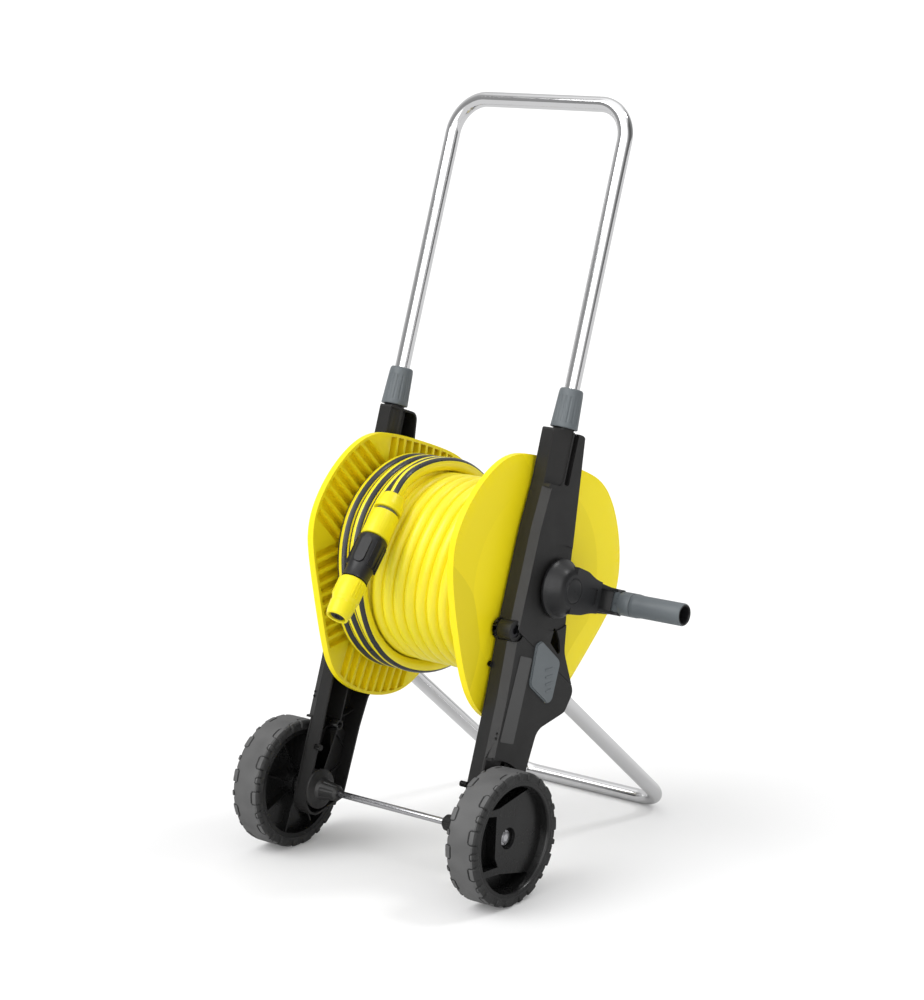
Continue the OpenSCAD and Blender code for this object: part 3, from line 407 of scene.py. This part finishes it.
def paint_shade_inside(node, start, line, reach):
    """Paints shade into a bore: the faces within reach of a piece's own axis get the black material."""
    node.data.materials.append(BLACK)
    line = line.normalized()
    place = node.matrix_world
    for polygon in node.data.polygons:
        off = place @ polygon.center - start
        off -= line * off.dot(line)
        if off.length < reach:
            polygon.material_index = 1


def dress_cad():
    """Gives every CAD node its material and softens its edges."""
    for part in frame["record"]["subparts"]:
        name, slot = part["node"], part["material_slot"]
        node = nodes[name]
        node.data.materials.clear()
        node.data.materials.append(NODE_MATERIALS.get(name, SLOT_MATERIALS[slot]))
        for polygon in node.data.polygons:
            polygon.material_index = 0
        # painted shade inside the grip's and the nozzle tip's bores
        if name in SHADED_BORES:
            turning, reach = SHADED_BORES[name]
            joint = next(j for j in frame["record"]["behaviour"]["joints"] if j["name"] == turning)
            paint_shade_inside(node, Vector(joint["pos_m"]), Vector(joint["axis"]), reach * MM)
        weld = node.modifiers.new("weld", "WELD")
        weld.merge_threshold = WELD_REACH
        bevel = node.modifiers.new("soft_edges", "BEVEL")
        bevel.width = WIDE_EDGE if name.startswith(WIDE_EDGES) else FINE_EDGE
        bevel.segments = 2
        bevel.limit_method = "ANGLE"
        bevel.angle_limit = EDGE_ANGLE
        bevel.use_clamp_overlap = True
        bevel.harden_normals = True


dress_cad()

# ---------------------------------------------------------------- mesh helpers

def make_piece(name, mesh, materials, body, stands_for):
    """Links a smooth piece that rides a body and stands for the CAD nodes named."""
    piece = bpy.data.objects.new(name, mesh)
    bpy.context.scene.collection.objects.link(piece)
    for material in materials:
        mesh.materials.append(material)
    for polygon in mesh.polygons:
        polygon.use_smooth = True
    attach(piece, body)
    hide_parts(*stands_for)
    return piece


def even_ring(sides):
    return [2 * math.pi * k / sides for k in range(sides)]


def sweep(points, radius, ring, outward=None, twist=None):
    """A closed-ended tube along points. ring holds the angles round it, outward(i) is where angle 0 looks,
    and twist(i) is an angle added to all of them."""
    sides = len(ring)
    count = len(points)
    verts, faces = [], []
    lead = None
    for i, p in enumerate(points):
        t = (points[min(i + 1, count - 1)] - points[max(i - 1, 0)]).normalized()
        if outward:
            lead = outward(i)
        elif lead is None:
            lead = t.orthogonal()
        u = (lead - t * lead.dot(t)).normalized()
        lead = u
        w = t.cross(u)
        turn = twist(i) if twist else 0.0
        verts += [p + (u * math.cos(a + turn) + w * math.sin(a + turn)) * radius for a in ring]
    for i in range(count - 1):
        for k in range(sides):
            a, b = i * sides + k, i * sides + (k + 1) % sides
            faces.append((a, b, b + sides, a + sides))
    faces.append(tuple(reversed(range(sides))))
    faces.append(tuple(range((count - 1) * sides, count * sides)))
    mesh = bpy.data.meshes.new("tube")
    mesh.from_pydata(verts, [], faces)
    return mesh


# ---------------------------------------------------------------- chrome tubes

TUBE_SIDES = 72
BEND_STEPS = 20
END_STEP = 0.02                               # from a leg's end or its bend to the next point on it
HANDLE = (0.1273, 0.514, 0.043)               # half width, length and bend radius, along the middle line
HANDLE_FOOT = 335                             # where its legs end at rest, s in millimetres
STAND = (0.122, 0.356, 0.042)
STAND_SLOPE = math.radians(40)
STAND_REACH = 0.386                           # from the axle back to the bar on the floor


def u_points(half, length, bend, place):
    """The middle line of a U: up one leg, over the bar and down the other."""
    line = [(half, s) for s in (0, END_STEP, length * 0.5, length - bend - END_STEP)]
    arc = [(half - bend + bend * math.cos(a), length - bend + bend * math.sin(a))
           for a in (math.pi / 2 * i / BEND_STEPS for i in range(BEND_STEPS + 1))]
    right = line + arc
    left = [(-x, s) for x, s in reversed(right)]
    return [place(x, s) for x, s in right + left]


def make_tubes():
    def on_handle(x, s):
        return lean_point(x / MM, 0, HANDLE_FOOT + s / MM)

    handle = sweep(u_points(*HANDLE, on_handle), TUBE_R, even_ring(TUBE_SIDES))
    make_piece("handle_chrome", handle, [CHROME], "handle", ["handle_tube"])

    top_y = STAND_REACH - STAND[1] * math.cos(STAND_SLOPE)
    top_z = TUBE_R + STAND[1] * math.sin(STAND_SLOPE)

    def on_stand(x, s):
        return Vector((x, top_y + s * math.cos(STAND_SLOPE), top_z - s * math.sin(STAND_SLOPE))) - CENTRE

    stand = sweep(u_points(*STAND, on_stand), TUBE_R, even_ring(TUBE_SIDES))
    make_piece("stand_chrome", stand, [CHROME], "frame", ["stand_tube"])


make_tubes()

# ---------------------------------------------------------------- hose

LAYERS = [  # radius, first x, step, turns
    (72.0, DRUM_SIDE, -18.3, 10), (88.5, -DRUM_SIDE, 18.3, 10),
    (105.0, DRUM_SIDE, -16.57, 11), (121.5, -DRUM_SIDE, 16.57, 3),
]
INNER_PARTS, OUTER_PARTS = 36, 80             # steps in a turn, in the two hidden layers and in the others
TURN_START = -126                             # where each turn begins, degrees
STEP_OVER = 80                                # the degrees of a turn that step to the next place
TAIL = [  # x, angle, radius, from the last turn into the cap nut
    (-53.5, -126, 121.7), (-52.8, -114, 121.8), (-50.5, -102, 122), (-47, -90, 122), (-43, -78, 122),
    (-39.6, -66, 122), (-37.6, -54, 122), (-37, -42, 122), (-37, -28, 122), (-37, -14, 122),
    (-37, 0, 122), (-37, 15, 122), (-37, 30, 122), (-37, 45, 122), (-37, 60, 122),
    (-37, 75, 122), (-36, 90, 122), (-35, 105, 123), (-33, 120, 127), (-31, 134, 133), (-30, 143, 135),
]
NUT = lean_point(-29, DRUM[0] - 118, DRUM[1] + 64)
TAIL_PARTS = 4                                # between two points of the tail
INLET = [(86, -148, 64), (86.6, -136, 68.5)]  # x, angle, radius, from inside the drum to the first turn

# the angles round the hose, in degrees: a stripe from 14 to 58 each side of the top, and the plain rest
HOSE_RING = [-58, -44, -29, -14, 14, 29, 44, 58] + [58 + 244 * k / 13 for k in range(1, 13)]
STRIPE_FACES = {0, 1, 2, 4, 5, 6}             # of one ring
STRIPE_TURN = 30                              # over so many parts the stripes come from under to the top


def ease(t):
    """From 0 to 1 with level ends."""
    t = min(max(t, 0), 1)
    return t * t * (3 - 2 * t)


def coil_points():
    """The turns, each level round the front, top and back, and stepping sideways under the drum."""
    places = [(r, x0 + step * k, layer) for layer, (r, x0, step, turns) in enumerate(LAYERS)
              for k in range(turns)]
    line = []
    for n, (r, x, layer) in enumerate(places):
        next_r, next_x = places[n + 1][:2] if n + 1 < len(places) else (r, x)
        parts = OUTER_PARTS if layer >= 2 else INNER_PARTS
        for i in range(parts):
            turned = 360 * i / parts
            t = ease((turned - 360 + STEP_OVER) / STEP_OVER)
            line.append((x + (next_x - x) * t, TURN_START + turned, r + (next_r - r) * t))
    return line


def smooth_line(points, parts):
    """Catmull-Rom through points, with so many parts between each two."""
    out = []
    ends = [points[0] * 2 - points[1]] + points + [points[-1] * 2 - points[-2]]
    for i in range(1, len(ends) - 2):
        p0, p1, p2, p3 = ends[i - 1:i + 3]
        for k in range(parts):
            t = k / parts
            out.append(0.5 * (2 * p1 + (p2 - p0) * t + (2 * p0 - 5 * p1 + 4 * p2 - p3) * t * t
                              + (3 * p1 - p0 - 3 * p2 + p3) * t ** 3))
    return out + [points[-1]]


def make_hose():
    coil = [drum_point(*p) for p in coil_points()]
    tail = smooth_line([drum_point(*p) for p in TAIL] + [NUT], TAIL_PARTS)
    inlet = [drum_point(*p) for p in INLET]
    line = inlet + coil + tail
    axis = Vector((1, 0, 0))
    hub = drum_point(0, 0, 0)

    def outward(i):
        d = line[i] - hub
        return d - axis * d.dot(axis)

    top_turns = LAYERS[-1][3]
    turn_over = len(inlet) + len(coil) - top_turns * OUTER_PARTS - STRIPE_TURN

    def twist(i):
        return math.pi * (1 - ease((i - turn_over) / STRIPE_TURN))

    sides = len(HOSE_RING)
    mesh = sweep(line, HOSE_D / 2 * MM, [math.radians(a) for a in HOSE_RING], outward, twist)
    hose = make_piece("hose", mesh, [HOSE, STRIPE], "drum", ["hose_winding", "hose_tail"])
    for index, polygon in enumerate(mesh.polygons):
        if index % sides in STRIPE_FACES and index < len(mesh.polygons) - 2:
            polygon.material_index = 1
    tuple(line[0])


make_hose()

# ---------------------------------------------------------------- tyres

LUGS = 11                                     # large lugs on each shoulder, with a small one between two
TYRE_IN, TYRE_OUT = 141.2, 184.2              # a tyre's faces, from the middle of the cart
TREAD_R, CROWN_R = 77.3, 77.45                # the tread beside its middle, and at it
CORNER = 5.0                                  # the round shoulder between side and tread
CORNER_STEPS = 8
LUG_PITCH = 2 * math.pi * TREAD_R / LUGS
LARGE_LUG, SMALL_LUG = (7.4, 7.6), (3.0, 4.2)    # half width, and how far it reaches onto the tread
LUG_CORNER = 2.2
CUT, GROOVE = 1.7, 1.3                        # depths between the lugs and along their edges
GROOVE_AT, GROOVE_WIDTH = 0.7, 0.7            # outside a lug's edge
BEAD_IN, BEAD_R = 4.2, 64.8                   # a section's inner corners: in from a face, and the radius
AROUND = 720                                  # the sections of a tyre
# the third material is painted shade in the lugs' grooves
TREAD_FACE, SIDE_FACE, GROOVE_SHADE_FACE = 0, 1, 2  # a face's material


def tyre_profile():
    """Half of the section from the bead to the middle of the tread, in millimetres: how far each point is in
    from the face, its radius, and its way along the surface, below 0 on the side and above 0 on the tread."""
    side = [(x, r, r - 76.3) for x, r in ((1.2, 66.3), (0.9, 67.2), (0.6, 68.4), (0.4, 69.6), (0.3, 71.0))]
    arc = []
    for k in range(CORNER_STEPS + 1):
        a = math.pi / 2 * k / CORNER_STEPS
        arc.append((0.2 + CORNER * (1 - math.cos(a)), 72.3 + CORNER * math.sin(a), CORNER * (a - 0.8)))
    flat = [(5.2 + w, TREAD_R, 3.9 + w) for w in (0.8, 1.6, 2.4, 3.2, 4.0, 4.8, 5.6, 6.4, 7.4, 9.5, 13)]
    return side + arc + flat + [(21.5, CROWN_R, 20)]


def smoothstep(low, high, v):
    return ease((v - low) / (high - low))


def beyond_lug(turned, along, half, end):
    """How far a place is outside a lug with round corners."""
    across = max(abs(turned) - half + LUG_CORNER, 0)
    ahead = max(along - end + LUG_CORNER, 0)
    return math.hypot(across, ahead) - LUG_CORNER


def lug_height(turned, along):
    """How far the surface stands, in millimetres, at a place on the shoulder, where turned is an arc length,
    and how much of it is groove."""
    big = (turned + LUG_PITCH / 2) % LUG_PITCH - LUG_PITCH / 2
    small = turned % LUG_PITCH - LUG_PITCH / 2
    edge = min(beyond_lug(big, along, *LARGE_LUG), beyond_lug(small, along, *SMALL_LUG))
    low = smoothstep(-9.5, -6.5, along) * (1 - smoothstep(2.2, 3.4, along))
    cut = -CUT * low * smoothstep(0.0, 0.8, edge)
    groove = math.exp(-((edge - GROOVE_AT) / GROOVE_WIDTH) ** 2) * smoothstep(-8, -5, along)
    return cut - GROOVE * groove, groove


def make_tyre(name):
    side = SIDES[name]
    half = tyre_profile()
    # the last value shifts the lugs along the tread, as the two shoulders' are half a pitch apart
    section = [(TYRE_IN + x, r, along, 0.5) for x, r, along in half]
    section += [(TYRE_OUT - x, r, along, 0.0) for x, r, along in reversed(half[:-1])]
    normals = []
    for i in range(len(section)):
        a, b = section[max(i - 1, 0)], section[min(i + 1, len(section) - 1)]
        n = Vector((a[1] - b[1], b[0] - a[0]))
        normals.append(n.normalized())
    centre = Vector((0, 0, AXLE_Z * MM)) - CENTRE

    def place(x, r, angle):
        return centre + Vector((side * x, r * math.cos(angle), r * math.sin(angle))) * MM

    verts, faces, shades = [], [], []
    for k in range(AROUND):
        angle = 2 * math.pi * k / AROUND
        turned = angle * TREAD_R
        for (x, r, along, offset), n in zip(section, normals):
            d, groove = lug_height(turned + offset * LUG_PITCH, along)
            # faces deep in a groove get the painted shade
            shades.append(GROOVE_SHADE_FACE if groove > 0.5 else TREAD_FACE if along > 1 else SIDE_FACE)
            verts.append(place(x + n[0] * d, min(r + n[1] * d, CROWN_R), angle))
        for x in (TYRE_OUT - BEAD_IN, TYRE_IN + BEAD_IN):
            verts.append(place(x, BEAD_R, angle))
            shades.append(SIDE_FACE)
    wide = len(section) + 2
    for k in range(AROUND):
        nxt = (k + 1) % AROUND
        for i in range(wide):
            j = (i + 1) % wide
            quad = (k * wide + i, nxt * wide + i, nxt * wide + j, k * wide + j)
            faces.append(quad if side < 0 else tuple(reversed(quad)))
    mesh = bpy.data.meshes.new("tyre_" + name)
    mesh.from_pydata(verts, [], faces)
    make_piece("tread_" + name, mesh, [TYRE, TYRE_SIDE, TYRE_GROOVE_SHADE], "wheel_" + name,
               ["tyre_" + name])
    for polygon in mesh.polygons:
        polygon.material_index = shades[polygon.vertices[0]]


for name in SIDES:
    make_tyre(name)
